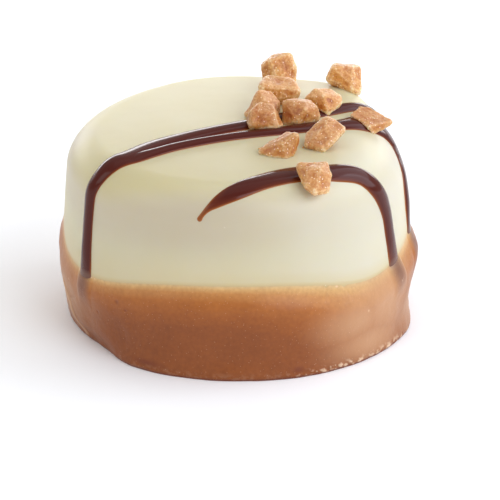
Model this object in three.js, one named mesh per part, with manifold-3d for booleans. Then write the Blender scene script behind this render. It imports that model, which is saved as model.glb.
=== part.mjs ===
// A round white chocolate praline that stands in a foot of milk chocolate, with strands of dark
// chocolate and eleven pieces of fudge on top. Millimetres and degrees, +Z up. The origin is the
// middle of the flat underside, and the front faces -Y. An azimuth runs from 0 at +X, on the right,
// through 90 at the back.
import * as THREE from "three";
import { mergeVertices } from "three/addons/utils/BufferGeometryUtils.js";
import Module from "manifold-3d";

const { degToRad, lerp, smoothstep } = THREE.MathUtils;
const wasm = await Module();
wasm.setup();

// White chocolate coat
const COAT_HEIGHT = 18.8; // middle of the domed top
const DOME = 0.5; // the top's edge is this much lower than its middle
const COAT_RADIUS = 15.95; // at the widest of the shoulder
const COAT_OFFSET = 0.25; // the coat sits this much to the left of the foot's middle
const SHOULDER_ROUND = 3.55; // radius of the rounded shoulder
const DRAFT = 4; // the wall leans in upwards by this angle

// Where the coat is uneven: the azimuth, how far round it reaches, and by how much
const ROUND_RIGHT_SHOULDER = { azimuth: 5, reach: 32, amount: 2.35 };
const SHARP_BACK_SHOULDER = { azimuth: 90, reach: 40, amount: -2.25 };
const MORE_DRAFT_RIGHT = { azimuth: 0, reach: 30, amount: 3 };
const CORNER_OUT = { azimuth: 46, reach: 20, amount: 1.0 };
const CORNER_UP = { azimuth: 46, reach: 20, amount: 0.65 };

// Milk chocolate foot
const BAND_HEIGHT = 9.3; // where milk chocolate meets white
const BAND_DIP_LEFT = { azimuth: -148, reach: 27, amount: -1.85 };
const BAND_DIP_RIGHT = { azimuth: -40, reach: 25, amount: -1.65 };
const BAND_UP_LEFT = { azimuth: 180, reach: 9, amount: 1.2 };
const BULGE = { radius: 17.05, height: 6.8, reach: 4 }; // the foot's widest
const WAIST_RADIUS = 16.2; // narrowest, above the lip
const WAIST_OFFSET = 0.2; // the waist sits this much to the left of the foot's middle
const FEATHER = 2.6; // the top edge thins out over this height
const BASE_RADIUS = 16.15; // the underside, at the back and sides
const BASE_FRONT = { from: -125, to: -20, amount: 0.7 }; // it is wider in front
const BASE_FRONT_EDGE = 18; // degrees over which that width starts and ends
const BASE_OUT_RIGHT = { azimuth: -65, reach: 20, amount: 0.15 };
const BASE_CHIP_LEFT = { azimuth: -150, reach: 20, amount: -0.65 };
const LIP_HEIGHT = 0.3;
const LIP_REACH = 1.2; // height over which the lip flares out
const LIP_FLARE = 0.35; // the lip stands out at most this far from the waist
const LIP_OVERHANG = 0.15; // the lip stands out this far over the underside's edge

const GAP = 0.1; // between pieces that touch

// A strand's stations: right and back of the top's middle, measured along the skin, then width.
// The stretches down the wall are straight, and thin out where the foot covers them.
const STRAND_SUNK = 0.5; // how far a strand's underside lies in the coat
const STRAND_EDGE = 0.04; // and how far its edges do
const STRAND_THIN = { share: 0.6, above: 2.5 }; // share of its height at the band, and from where
const LONG_STRAND = {
  height: 0.4,
  stations: [
    [-21.6, -13.2, 2.0],
    [-18.7, -11.5, 1.6],
    [-14.9, -9.4, 1.7],
    [-13.0, -8.7, 2.0],
    [-11.7, -8.0, 2.5],
    [-9.6, -6.7, 3.0],
    [-7.8, -4.95, 2.9],
    [-3.3, -2.0, 2.3],
    [2.3, 0.9, 2.2],
    [8.2, 4.0, 1.9],
    [11.6, 6.1, 1.4],
    [14.2, 8.0, 1.6],
    [17.0, 10.1, 1.7],
    [19.9, 11.9, 1.8],
  ],
};
const SECOND_STRAND = {
  height: 0.42,
  stations: [
    [-13.2, -9.1, 1.0],
    [-11.6, -8.3, 1.8],
    [-9.9, -7.5, 2.2],
    [-8.0, -6.5, 1.7],
    [-5.7, -5.15, 1.6],
    [-0.8, -3.1, 1.5],
    [4.2, -1.3, 1.8],
    [6.4, -0.2, 2.2],
    [9.8, 1.2, 2.3],
    [11.6, 2.3, 3.0],
    [13.9, 4.1, 3.2],
    [15.9, 4.5, 2.7],
    [17.3, 3.3, 2.6],
    [18.9, 0.8, 2.4],
    [22.0, -1.2, 2.2],
  ],
};
const FRONT_STRAND = {
  height: 0.24,
  stations: [
    [-3.95, -16.95, 0.8],
    [-3.55, -16.5, 0.5],
    [-2.95, -16.0, 0.6],
    [-2.0, -15.4, 1.15],
    [0.0, -14.2, 2.0],
    [2.6, -12.5, 2.6],
    [5.1, -11.2, 2.9],
    [8.6, -10.1, 2.7],
    [11.3, -9.2, 2.3],
    [13.45, -9.1, 2.2],
    [16.75, -9.3, 1.9],
    [19.0, -10.0, 1.9],
    [21.3, -10.6, 2.1],
  ],
};
const STRANDS = [LONG_STRAND, SECOND_STRAND, FRONT_STRAND];

// Fudge pieces: irregular blocks with rounded corners. Each stands at a place on the coat. The
// middles of its rounded corners are given from there: right, back and above the skin.
const FUDGE_LUMP = 0.05; // height of the bumps in its faces
const FUDGE_LUMP_RATES = [2.3, 2.1, 1.9]; // how fast they follow each other to the right, back and up
const FUDGE_LUMP_SHIFTS = [1, 2]; // how far a piece's place shifts them, so that no two are alike
const FUDGE_MIDDLE = 1; // height of the point that they point away from
const FUDGE = [
  {
    at: [4.0, 11.2], round: 0.42,
    corners: [
      [-0.8, -0.1, 2.5], [-0.2, -1.0, 1.1], [0.9, 0.4, 2.9], [1.2, -0.7, 0.7],
      [1.3, -0.3, 2.0], [-1.4, 0.8, 1.8], [-1.2, 0.6, 0.4], [-0.5, 0.8, 2.6],
      [0.8, 1.3, 2.4], [1.2, 1.5, 0.2], [-0.9, 1.5, 0.1], [0, 0.2, 0.1],
    ],
  },
  {
    at: [3.9, 5.7], round: 0.55,
    corners: [
      [-1.1, 1.0, 1.9], [1.1, 1.0, 1.7], [-1.5, -0.7, 1.8], [1.5, -0.4, 1.4],
      [-1.2, -0.7, 0.9], [1.4, -0.5, 1.1], [-0.8, 1.0, 0.4], [0.9, 1.1, 0.4],
      [0, -0.2, 0.3],
    ],
  },
  {
    at: [2.2, 2.9], round: 0.4,
    corners: [
      [-0.1, 0.1, 2.0], [0.7, 0.6, 1.7], [1.4, 0.2, 1.1], [0.3, -0.5, 1.5],
      [-1.2, -0.5, 0.2], [-0.8, -1.1, 0.1], [1.4, -0.8, 0.1], [1.4, 0.7, 0.1],
      [-0.6, 0.7, 0.1],
    ],
  },
  {
    at: [2.4, -0.3], round: 0.5,
    corners: [
      [-0.3, 0.6, 1.8], [0.6, 0.5, 1.6], [-0.9, -0.4, 1.5], [0.8, -0.4, 1.4],
      [-1.0, -0.9, 0.7], [1.1, -0.8, 0.5], [1.4, -0.3, 0.2], [-1.1, 0.9, 0.5],
      [1.0, 0.8, 0.7],
    ],
  },
  {
    at: [5.8, 1.7], round: 0.42,
    corners: [
      [-1.2, 0, 1.8], [0.4, -0.4, 1.7], [0.9, 0.2, 1.4], [0.5, -1.1, 1.5],
      [-0.1, -1.4, 0.6], [-1.2, -0.9, 0.2], [1.4, -0.1, 1.2], [1.6, -0.3, 0.5],
      [-0.5, 0.9, 1.5], [0.9, 1.0, 1.3], [-0.6, 1.1, 0.2], [1.2, 1.2, 0.3],
    ],
  },
  {
    at: [8.1, 4.4], round: 0.35,
    corners: [
      [-0.7, 0.5, 1.6], [0.7, 1.0, 1.4], [1.5, 0.9, 0.9], [1.5, 0.4, 0.6], [0, -0.5, 1.5],
      [-1.4, 0.3, 1.0], [0.4, -1.0, 0.2], [-0.3, -0.6, 0.5], [-0.7, 1.2, 0.4],
      [1.1, 1.6, 0.1], [0.1, 0.9, 1.3],
    ],
  },
  {
    at: [10.3, 10.8], round: 0.5,
    corners: [
      [-1.0, -0.3, 2.0], [-1.3, -0.5, 1.2], [0.6, -0.2, 1.8], [0.7, -1.1, 0.4],
      [1.1, -0.9, 0.1], [1.1, 0.9, 1.5], [1.1, 0.8, -0.2], [-0.7, 0.8, 1.8],
      [-0.9, 0.9, 0.7], [-0.1, 0.6, 1.7], [0, 0.3, 0.1],
    ],
  },
  {
    at: [12.6, 2.5], round: 0.2,
    corners: [
      [-1.7, 0.2, 1.2], [-0.9, 1.3, 1.5], [-0.2, 1.4, 1.4], [1.9, 0.4, 0.5],
      [-0.2, -1.2, 0.6], [0.1, -1.1, 0], [1.4, 0.1, 0.3], [-1.3, 0.2, 0.9],
      [-0.6, 1.2, 0.9],
    ],
  },
  {
    at: [7.9, -4.4], round: 0.35,
    corners: [
      [-1.2, -0.6, 0.5], [0.2, 0, 1.6], [0.4, 1.3, 2.1], [-1.2, 0.5, 1.0], [1.8, 0.4, 1.5],
      [0.8, -1.0, 0.8], [0, -1.4, 0.3], [-1.4, -0.9, 0.4], [-1.0, 1.3, 0.5],
      [1.1, 1.2, 1.8], [1.4, 1.3, 1.0], [0.3, 0.1, 0.1], [-0.3, 0.4, 0.1],
    ],
  },
  {
    at: [4.0, -6.8], round: 0.3,
    corners: [
      [-1.8, -0.1, 0.3], [0.1, -0.4, 1.1], [1.3, 0.1, 1.8], [0.6, 1.0, 1.5],
      [-0.9, 0.7, 0.7], [1.4, 0.4, 1.2], [1.0, -0.3, 0.2], [0.4, -0.8, 0],
      [-0.9, -0.6, 0.1], [1.2, 1.2, 0.3], [-0.6, 1.0, 0.1],
    ],
  },
  {
    at: [7.1, -12.1], round: 0.4,
    corners: [
      [-1.4, 0.1, 1.5], [0.8, 0.2, 1.6], [1.1, -0.8, 1.0], [-0.1, -2.2, 0.1],
      [-0.7, -1.9, 0.5], [0.9, -1.6, 0.1], [-0.6, -1.0, 1.4], [0.4, -1.1, 1.5],
      [-0.2, 0.2, 0.6], [0.1, -0.3, -0.2],
    ],
  },
];

// How finely the solids are divided
const AROUND = 64;
const TOP_RINGS = 4;
const SHOULDER_RINGS = 7;
const WALL_RINGS = 3;
const STRAND_STEPS = 34;
const STRAND_SIDES = 8;
const FUDGE_SEGMENTS = 12;
const FUDGE_FACE = 0.9; // longest edge in its faces
const SEAM_RING = 0.5; // the ring inside is this share of the way out
const CLOSE = 1e-4; // points closer than this are one
const FOOT_RING_SHARES = [0.1, 0.18, 0.3, 0.44, 0.58, 0.7, 0.8, 0.88, 0.95]; // of the band's height

// Angle from one azimuth to another, from -180 to 180
function apart(azimuth, from) {
  return THREE.MathUtils.euclideanModulo(azimuth - from + 180, 360) - 180;
}

// What an uneven place adds at an azimuth: all of its amount at its middle, none far from it
function swell(place, azimuth) {
  return place.amount * Math.exp(-((apart(azimuth, place.azimuth) / place.reach) ** 2));
}

// The coat's section at an azimuth: a domed top, a shoulder that is an arc, and a straight wall
function section(azimuth) {
  const round =
    SHOULDER_ROUND +
    swell(ROUND_RIGHT_SHOULDER, azimuth) +
    swell(SHARP_BACK_SHOULDER, azimuth);
  const offset = COAT_OFFSET * Math.cos(degToRad(azimuth));
  const centreRadius = COAT_RADIUS - offset + swell(CORNER_OUT, azimuth) - round;
  const startLean = Math.atan((2 * DOME) / centreRadius);
  const endLean = degToRad(90 - DRAFT - swell(MORE_DRAFT_RIGHT, azimuth));
  const rise = swell(CORNER_UP, azimuth);
  return {
    round,
    centreRadius,
    centreHeight: COAT_HEIGHT + rise - DOME - round * Math.cos(startLean),
    startLean,
    endLean,
    rise,
    topLength: centreRadius + round * Math.sin(startLean),
    arcLength: round * (endLean - startLean),
  };
}

// Radius, height and lean of the skin at a distance along it from the top's middle. The lean is the
// angle of its outward normal from straight up.
function skin(along, azimuth) {
  const s = section(azimuth);
  if (along < s.topLength) {
    const share = along / s.topLength;
    return {
      radius: along,
      height: COAT_HEIGHT + s.rise * smoothstep(share, 0, 1) - DOME * share ** 2,
      lean: s.startLean * share,
    };
  }
  const lean = Math.min(s.startLean + (along - s.topLength) / s.round, s.endLean);
  const down = Math.max(along - s.topLength - s.arcLength, 0);
  return {
    radius: s.centreRadius + s.round * Math.sin(lean) + down * Math.cos(s.endLean),
    height: s.centreHeight + s.round * Math.cos(lean) - down * Math.sin(s.endLean),
    lean,
  };
}

// How far along the skin the wall comes down to a height
function alongAt(height, azimuth) {
  const s = section(azimuth);
  const wallTop = s.centreHeight + s.round * Math.cos(s.endLean);
  return s.topLength + s.arcLength + (wallTop - height) / Math.sin(s.endLean);
}

function polar(radius, azimuth, height) {
  const angle = degToRad(azimuth);
  return new THREE.Vector3(radius * Math.cos(angle), radius * Math.sin(angle), height);
}

// The point of the skin at a place, raised off it by a lift
function skinPoint(along, azimuth, lift) {
  const { radius, height, lean } = skin(along, azimuth);
  return polar(radius + lift * Math.sin(lean), azimuth, height + lift * Math.cos(lean));
}

// Height of the skin at a point seen from above
function skinHeight(x, y) {
  const radius = Math.hypot(x, y);
  const azimuth = THREE.MathUtils.radToDeg(Math.atan2(y, x));
  let [near, far] = [0, 2 * COAT_RADIUS];
  while (far - near > CLOSE) {
    const middle = (near + far) / 2;
    if (skin(middle, azimuth).radius < radius) near = middle;
    else far = middle;
  }
  return skin(near, azimuth).height;
}

function bandHeight(azimuth) {
  return (
    BAND_HEIGHT +
    swell(BAND_DIP_LEFT, azimuth) +
    swell(BAND_DIP_RIGHT, azimuth) +
    swell(BAND_UP_LEFT, azimuth)
  );
}

// Radius of the flat underside on which the praline stands
function baseRadius(azimuth) {
  const { from, to, amount } = BASE_FRONT;
  const turned = apart(azimuth, from) + from;
  const starts = smoothstep(turned, from - BASE_FRONT_EDGE, from);
  const ends = 1 - smoothstep(turned, to, to + BASE_FRONT_EDGE);
  const front = amount * starts * ends;
  return BASE_RADIUS + front + swell(BASE_OUT_RIGHT, azimuth) + swell(BASE_CHIP_LEFT, azimuth);
}

// Radius of the foot's side: a top edge that thins out on the coat, a bulge, a waist, and the lip
function footRadius(height, azimuth) {
  const lip = baseRadius(azimuth) + LIP_OVERHANG;
  const narrowest = WAIST_RADIUS - WAIST_OFFSET * Math.cos(degToRad(azimuth));
  const waist = Math.max(narrowest, lip - LIP_FLARE);
  const bulge = Math.exp(-(((height - BULGE.height) / BULGE.reach) ** 2));
  const flare = Math.exp(-((Math.max(height - LIP_HEIGHT, 0) / LIP_REACH) ** 2));
  const belowLip = Math.max(1 - height / LIP_HEIGHT, 0);
  const side =
    waist + (BULGE.radius - waist) * bulge + (lip - waist) * flare - LIP_OVERHANG * belowLip;
  const wall = skin(alongAt(height, azimuth), azimuth).radius;
  return lerp(wall, side, smoothstep(bandHeight(azimuth) - height, 0, FEATHER));
}

// The surface where the two chocolates meet inside runs through the praline, and rises or falls
// towards the band's edge.
function seamHeight(radius, azimuth) {
  return lerp(BAND_HEIGHT, bandHeight(azimuth), (radius / COAT_RADIUS) ** 2);
}

// A closed body of rings round the Z axis. The first and last ring are points on the axis, and
// ringPoint places each vertex of the others.
function bodyOfRings(rings, ringPoint) {
  const blank = rings.map((_, i) => new THREE.Vector2(i % (rings.length - 1) ? 1 : 0, i));
  const geometry = new THREE.LatheGeometry(blank, AROUND);
  const position = geometry.getAttribute("position");
  for (let i = 0; i < position.count; i++) {
    const step = Math.floor(i / rings.length) % AROUND;
    position.setXYZ(i, ...ringPoint(rings[i % rings.length], (360 * step) / AROUND));
  }
  return geometry;
}

// The coat, as its upper skin with a lift and the seam under it
function coatGeometry(lift) {
  const rings = [{ seam: 0 }, { seam: SEAM_RING }];
  for (let i = 0; i <= WALL_RINGS; i++) rings.push({ wall: i / WALL_RINGS });
  for (let i = 1; i <= SHOULDER_RINGS; i++) rings.push({ shoulder: i / SHOULDER_RINGS });
  for (let i = TOP_RINGS - 1; i >= 0; i--) rings.push({ top: i / TOP_RINGS });
  return bodyOfRings(rings, (ring, azimuth) => {
    const s = section(azimuth);
    if ("seam" in ring) {
      const radius = ring.seam * COAT_RADIUS;
      return polar(radius, azimuth, seamHeight(radius, azimuth) + GAP);
    }
    if ("wall" in ring) {
      const foot = alongAt(bandHeight(azimuth) + GAP, azimuth);
      return skinPoint(lerp(foot, s.topLength + s.arcLength, ring.wall), azimuth, lift);
    }
    if ("shoulder" in ring)
      return skinPoint(s.topLength + s.arcLength * (1 - ring.shoulder), azimuth, lift);
    return skinPoint(s.topLength * ring.top, azimuth, lift);
  });
}

function footGeometry() {
  const rings = [{ floor: 0 }, { share: 0 }, { height: LIP_HEIGHT }];
  for (const share of FOOT_RING_SHARES) rings.push({ share });
  rings.push({ share: 1 }, { seam: SEAM_RING }, { seam: 0 });
  return bodyOfRings(rings, (ring, azimuth) => {
    if ("floor" in ring) return polar(0, azimuth, 0);
    if ("seam" in ring) {
      const radius = ring.seam * COAT_RADIUS;
      return polar(radius, azimuth, seamHeight(radius, azimuth));
    }
    const height = ring.height ?? ring.share * bandHeight(azimuth);
    return polar(footRadius(height, azimuth), azimuth, height);
  });
}

// Moves a place on the unrolled skin sideways from a strand's middle line. Down the wall the skin
// is less wide than it is unrolled, so a distance across is stretched to stay true.
function beside(middle, heading, across) {
  const along = Math.hypot(middle.x, middle.y);
  const azimuth = Math.atan2(middle.y, middle.x);
  const girth = skin(along, THREE.MathUtils.radToDeg(azimuth)).radius / along;
  const outward = new THREE.Vector2(Math.cos(azimuth), Math.sin(azimuth));
  const sideways = new THREE.Vector2(-outward.y, outward.x);
  const direction = new THREE.Vector2(
    heading.dot(outward),
    heading.dot(sideways) * girth,
  ).normalize();
  return new THREE.Vector2(middle.x, middle.y)
    .addScaledVector(outward, -direction.y * across)
    .addScaledVector(sideways, (direction.x * across) / girth);
}

// A strand is a rod bent along its stations and laid in the skin, with a low rounded back. The
// extra makes it wider and higher.
function strandGeometry({ height, stations }, extra) {
  const line = new THREE.CatmullRomCurve3(stations.map((s) => new THREE.Vector3(...s)));
  const rod = new THREE.CylinderGeometry(1, 1, 1, STRAND_SIDES, STRAND_STEPS);
  const position = rod.getAttribute("position");
  for (let i = 0; i < position.count; i++) {
    const share = 0.5 - position.getY(i);
    const middle = line.getPoint(share);
    const tangent = line.getTangent(share);
    const heading = new THREE.Vector2(tangent.x, tangent.y).normalize();
    const place = beside(middle, heading, position.getX(i) * (middle.z / 2 + extra));
    const azimuth = THREE.MathUtils.radToDeg(Math.atan2(place.y, place.x));
    const above = skin(place.length(), azimuth).height - bandHeight(azimuth);
    const thin = lerp(STRAND_THIN.share, 1, smoothstep(above, 0, STRAND_THIN.above));
    const up = position.getZ(i);
    const rise = up > 0 ? height * thin + extra : STRAND_SUNK;
    const lift = up * (rise + STRAND_EDGE) - STRAND_EDGE;
    position.setXYZ(i, ...skinPoint(place.length(), azimuth, lift));
  }
  return rod;
}

// An irregular block with rounded corners and lumpy faces, standing in its place on the skin. The
// extra makes it larger all round.
function fudgeSolid({ at, round, corners }, extra) {
  const corner = wasm.Manifold.sphere(round + extra, FUDGE_SEGMENTS);
  const [x, y] = at;
  const [rightRate, backRate, upRate] = FUDGE_LUMP_RATES;
  const [rightShift, backShift] = FUDGE_LUMP_SHIFTS;
  return wasm.Manifold.hull(corners.map((middle) => corner.translate(middle)))
    .refineToLength(FUDGE_FACE)
    .warp((point) => {
      const [right, back, above] = point;
      const reach = Math.max(Math.hypot(right, back, above - FUDGE_MIDDLE), round);
      const across = Math.sin(rightRate * right + upRate * above + rightShift * x);
      const grow = (FUDGE_LUMP * across * Math.sin(backRate * back + backShift * y)) / reach;
      point[0] += right * grow;
      point[1] += back * grow;
      point[2] += (above - FUDGE_MIDDLE) * grow;
    })
    .translate([x, y, skinHeight(x, y)]);
}

function toSolid(geometry) {
  const bare = geometry.clone();
  bare.deleteAttribute("normal");
  bare.deleteAttribute("uv");
  const merged = mergeVertices(bare, CLOSE);
  return new wasm.Manifold(
    new wasm.Mesh({
      numProp: 3,
      vertProperties: merged.getAttribute("position").array,
      triVerts: new Uint32Array(merged.index.array),
    }),
  );
}

// The largest body of a solid, without the scraps that a cut leaves
function mainBody(solid) {
  return solid.decompose().reduce((a, b) => (a.volume() > b.volume() ? a : b));
}

// The coat with its strands, as one solid
function coatSolid(extra) {
  let solid = toSolid(coatGeometry(extra));
  for (const strand of STRANDS) solid = solid.add(toSolid(strandGeometry(strand, extra)));
  return mainBody(solid);
}

function named(name, solid, material) {
  const { vertProperties, triVerts } = solid.getMesh();
  const geometry = new THREE.BufferGeometry();
  geometry.setAttribute("position", new THREE.BufferAttribute(vertProperties, 3));
  geometry.setIndex(new THREE.BufferAttribute(triVerts, 1));
  geometry.computeVertexNormals();
  const mesh = new THREE.Mesh(geometry, material);
  mesh.name = name;
  return mesh;
}

const whiteChocolate = new THREE.MeshStandardMaterial({ color: 0xe9e3c9, roughness: 0.4, metalness: 0 });
const milkChocolate = new THREE.MeshStandardMaterial({ color: 0xa5663c, roughness: 0.5, metalness: 0 });
const fudge = new THREE.MeshStandardMaterial({ color: 0xd59e63, roughness: 0.8, metalness: 0 });

const praline = new THREE.Group();
praline.add(named("milk_chocolate_foot", toSolid(footGeometry()), milkChocolate));
praline.add(named("white_chocolate_body", coatSolid(0), whiteChocolate));

// Each fudge piece is cut to the coat, to the strands under it and to the pieces in front of it
const topping = new THREE.Group();
let taken = coatSolid(GAP);
for (let index = FUDGE.length - 1; index >= 0; index--) {
  const solid = mainBody(fudgeSolid(FUDGE[index], 0).subtract(taken));
  taken = taken.add(fudgeSolid(FUDGE[index], GAP));
  const number = String(index + 1).padStart(2, "0");
  topping.add(named("fudge_piece_" + number, solid, fudge));
}
praline.add(topping);

export default praline;
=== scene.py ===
"""The looks of a round white chocolate praline: its glossy coat, the milk chocolate foot that thins
out over it, strands of dark chocolate, and crumbly pieces of fudge.

Shapes are worked out in millimetres and degrees, and are turned into metres when a mesh is made.
An azimuth runs from 0 at +X, on the right, through 90 at the back. The front faces -Y. The band is
the wavy line along which the foot's upper edge ends on the coat.
"""
import math
from types import SimpleNamespace

import bpy
import numpy as np
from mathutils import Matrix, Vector, noise


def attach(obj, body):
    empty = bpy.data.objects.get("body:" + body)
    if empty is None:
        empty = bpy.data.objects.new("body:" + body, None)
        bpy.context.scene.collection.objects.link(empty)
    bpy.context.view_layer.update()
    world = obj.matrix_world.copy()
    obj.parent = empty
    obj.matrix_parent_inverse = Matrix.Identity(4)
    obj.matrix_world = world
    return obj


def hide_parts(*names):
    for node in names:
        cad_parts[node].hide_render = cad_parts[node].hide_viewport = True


MM = 0.001

# White chocolate coat
COAT_HEIGHT = 18.8
DOME = 0.5
COAT_RADIUS = 15.95
COAT_OFFSET = 0.25
SHOULDER_ROUND = 3.55
DRAFT = 4
COAT_WAVE_SIZE = 6.0
COAT_WAVE_HEIGHT = 0.03
COAT_WAVES_ABOVE = 2  # how far above the band the waves are at their full height
COAT_TUCK = 0.04  # how far the coat steps back behind the foot
COAT_TUCK_OVER = 0.3
COVERED = 0.5  # how far the coat goes on down behind the foot
TOP_INSIDE = 2  # the top's shade fades from this far inside its rim
TOP_ARC_SHARE = 0.4  # to this share of the shoulder

# Rings and points that close a piece inside: the rings' radius, as a share of the next ring's, and
# how far from the band the materials take them to be
CLOSING_SHARE = 0.5
FAR = 9
BEHIND_FOOT = -1

# Where the coat is uneven: the azimuth, how far round it reaches, and by how much
ROUND_RIGHT_SHOULDER = (5, 32, 2.35)
SHARP_BACK_SHOULDER = (90, 40, -2.25)
MORE_DRAFT_RIGHT = (0, 30, 3)
CORNER_OUT = (46, 20, 1.0)
CORNER_UP = (46, 20, 0.65)

# Milk chocolate foot
BAND_HEIGHT = 9.3
BAND_SWELLS = [(-148, 27, -1.85), (-40, 25, -1.65), (180, 9, 1.2)]
BULGE_RADIUS = 17.05
BULGE_HEIGHT = 6.8
BULGE_REACH = 4
WAIST_RADIUS = 16.2
WAIST_OFFSET = 0.2
FEATHER = 2.6
BASE_RADIUS = 16.15
BASE_FRONT_FROM = -125
BASE_FRONT_TO = -20
BASE_FRONT_AMOUNT = 0.7
BASE_FRONT_EDGE = 18
BASE_SWELLS = [(-65, 20, 0.15), (-150, 20, -0.65)]
LIP_HEIGHT = 0.3
LIP_REACH = 1.2
LIP_FLARE = 0.35
LIP_OVERHANG = 0.15

# Relief of the foot. A pair says how far below the band it starts and is whole
FOOT_LUMP_SIZE = 3.0
FOOT_LUMP_HEIGHT = 0.09
FOOT_LUMPS_BELOW = (0.2, 1.5)
RIM_START = 0.02  # height at which the rim's crumbs start
RIM_HEIGHT = 0.3  # height at which they are whole
RIM_FADE = 0.7  # and how far above that they end
RIM_CRUMB_SIZE = 0.45
RIM_CRUMB_HEIGHT = 0.16
RIM_CRUMBS = 0.09  # share of the crumbs that the rim has all round
RIDGE = 0.26  # how far the foot stands out over a strand
RIDGE_BELOW = (0.05, 0.5)
RIDGE_ASIDE = 0.25  # how far a ridge reaches beside the strand
STAIN_DEPTH = 4.2  # ridges and dark stains over the strands end this far below the band
RIDGE_FADES_BELOW = 0.8  # and fade from here
STAIN_FADES_BELOW = 1.0
PIT_DEPTH = 0.07
CREASE_DEPTH = 0.06
CREASE_WIDTH = 0.22
FOLD_HEIGHT = 0.14
FOLD_WIDTH = 0.5

# Marks on the coat and foot, some of them painted light and shade: swells as above; spots with their
# azimuth, height, and how far they reach aside and up; lines with the azimuth and height of their
# points
# painted light: the wall is paler on its lit right front
COAT_PAINTED_LIGHT = (-38, 42, 1)
# painted shade: the front wall below the shoulder is greyer
COAT_PAINTED_SHADE = (-105, 30, 1)
PAINTED_SHADE_STARTS = (1, 5)  # how far above the band it starts and is whole
PAINTED_SHADE_ENDS = (9, 7)  # and where it ends and is still whole
WIDE_PALE_EDGE = (-45, 28, 0.9)
CRUMBLY_RIM = [(-55, 0.4, 7, 1), (-32, 0.4, 6, 1.2)]
FOOT_PITS = [(-131.8, 6.15, 0.45, 0.35), (-141, 4.25, 0.25, 0.3), (-128, 5.6, 0.3, 0.2)]
FOOT_CREASES = [
    [(-60, 8.3), (-61, 7.1), (-60.5, 6.4)],
    [(-54.5, 8.6), (-51, 6.9)],
    [(-52.5, 8.3), (-53.5, 6.5)],
    [(-161, 3.6), (-156, 4.2)],
]
FOOT_FOLD = [(-167, 4.6), (-163, 3.0), (-159, 1.4), (-154, 0.5)]
FOOT_NICKS = [
    (-22, 7.75, 0.12, 0.2), (-25.5, 6.1, 0.1, 0.15), (-144.8, 7.35, 0.14, 0.12),
    (-143.2, 7.35, 0.12, 0.1), (-152.5, 7.4, 0.12, 0.3), (-56, 8.1, 0.25, 0.15),
    (-160, 5.6, 0.12, 0.1), (-44, 4.9, 0.12, 0.2),
]
# painted sheen: paler spots on the right front, the right and the left of the foot
FOOT_PAINTED_SHEEN = [
    (-48, 4.2, 7.5, 4.0), (-34, 4.6, 8.5, 6.5), (-42, 1.8, 8.5, 3.2), (-2, 2.5, 15, 4.5),
    (-178, 4, 14, 5),
]
# darker spots low on the front of the foot
FOOT_LOW_DARK_SPOTS = [(-71, 0.85, 0.9, 0.5), (-120, 0.9, 2.5, 0.5)]
PALE_CRUMBS = (0.05, 0.3)  # roughness at which the rim's crumbs turn pale, partly crumbs and partly a painted highlight on the lip's edge
# painted highlight along the fold's ridge
FOLD_PAINTED_HIGHLIGHT = 0.5
# share of the pits' darkening, which is painted shade in the pits
PIT_PAINTED_SHADE = 0.7
RIM_PAINTED_SHADE_HEIGHT = 0.1  # painted shade under the lip: the rim is darkest up to this height

# Strands: whether the start and the end go on behind the foot, and stations, which are right and
# back of the top's middle along the skin, then the width
STRAND_SUNK = 0.3
STRAND_EDGE = 0.04
STRAND_PILLOW = 1.15  # 1 gives a strand an elliptic back, and 2 a parabolic one
STRAND_THIN_SHARE = 0.6  # share of its height that a strand keeps at the band
STRAND_THIN_ABOVE = 2.5  # and how far above the band it starts to thin out
TIP_ROUND = 0.4
TIP_THIN_SHARE = 0.2  # share of its height that a strand has at a tip
TIP_THIN_OVER = 5.5  # and over which distance it gets the rest
BURIED = 1.4  # how far a strand goes on behind the foot
STRANDS = {
    "dark_strand_long": {
        "height": 0.4,
        "buried": (True, True),
        "stations": [
            (-21.6, -13.2, 2.0), (-18.7, -11.5, 1.6), (-14.9, -9.4, 1.7), (-13.0, -8.7, 2.0),
            (-11.7, -8.0, 2.5), (-9.6, -6.7, 3.0), (-7.8, -4.95, 2.9), (-3.3, -2.0, 2.3),
            (2.3, 0.9, 2.2), (8.2, 4.0, 1.9), (11.6, 6.1, 1.4), (14.2, 8.0, 1.6),
            (17.0, 10.1, 1.7), (19.9, 11.9, 1.8),
        ],
    },
    "dark_strand_second": {
        "height": 0.42,
        "buried": (False, True),
        "stations": [
            (-13.2, -9.1, 1.0), (-11.6, -8.3, 1.8), (-9.9, -7.5, 2.2), (-8.0, -6.5, 1.7),
            (-5.7, -5.15, 1.6), (-0.8, -3.1, 1.5), (4.2, -1.3, 1.8), (6.4, -0.2, 2.2),
            (9.8, 1.2, 2.3), (11.6, 2.3, 3.0), (13.9, 4.1, 3.2), (15.9, 4.5, 2.7),
            (17.3, 3.3, 2.6), (18.9, 0.8, 2.4), (22.0, -1.2, 2.2),
        ],
    },
    "dark_strand_front": {
        "height": 0.24,
        "buried": (False, True),
        "stations": [
            (-3.95, -16.95, 0.8), (-3.55, -16.5, 0.5), (-2.95, -16.0, 0.6),
            (-2.0, -15.4, 1.15), (0.0, -14.2, 2.0), (2.6, -12.5, 2.6), (5.1, -11.2, 2.9),
            (8.6, -10.1, 2.7), (11.3, -9.2, 2.3), (13.45, -9.1, 2.2), (16.75, -9.3, 1.9),
            (19.0, -10.0, 1.9), (21.3, -10.6, 2.1),
        ],
    },
}

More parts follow.
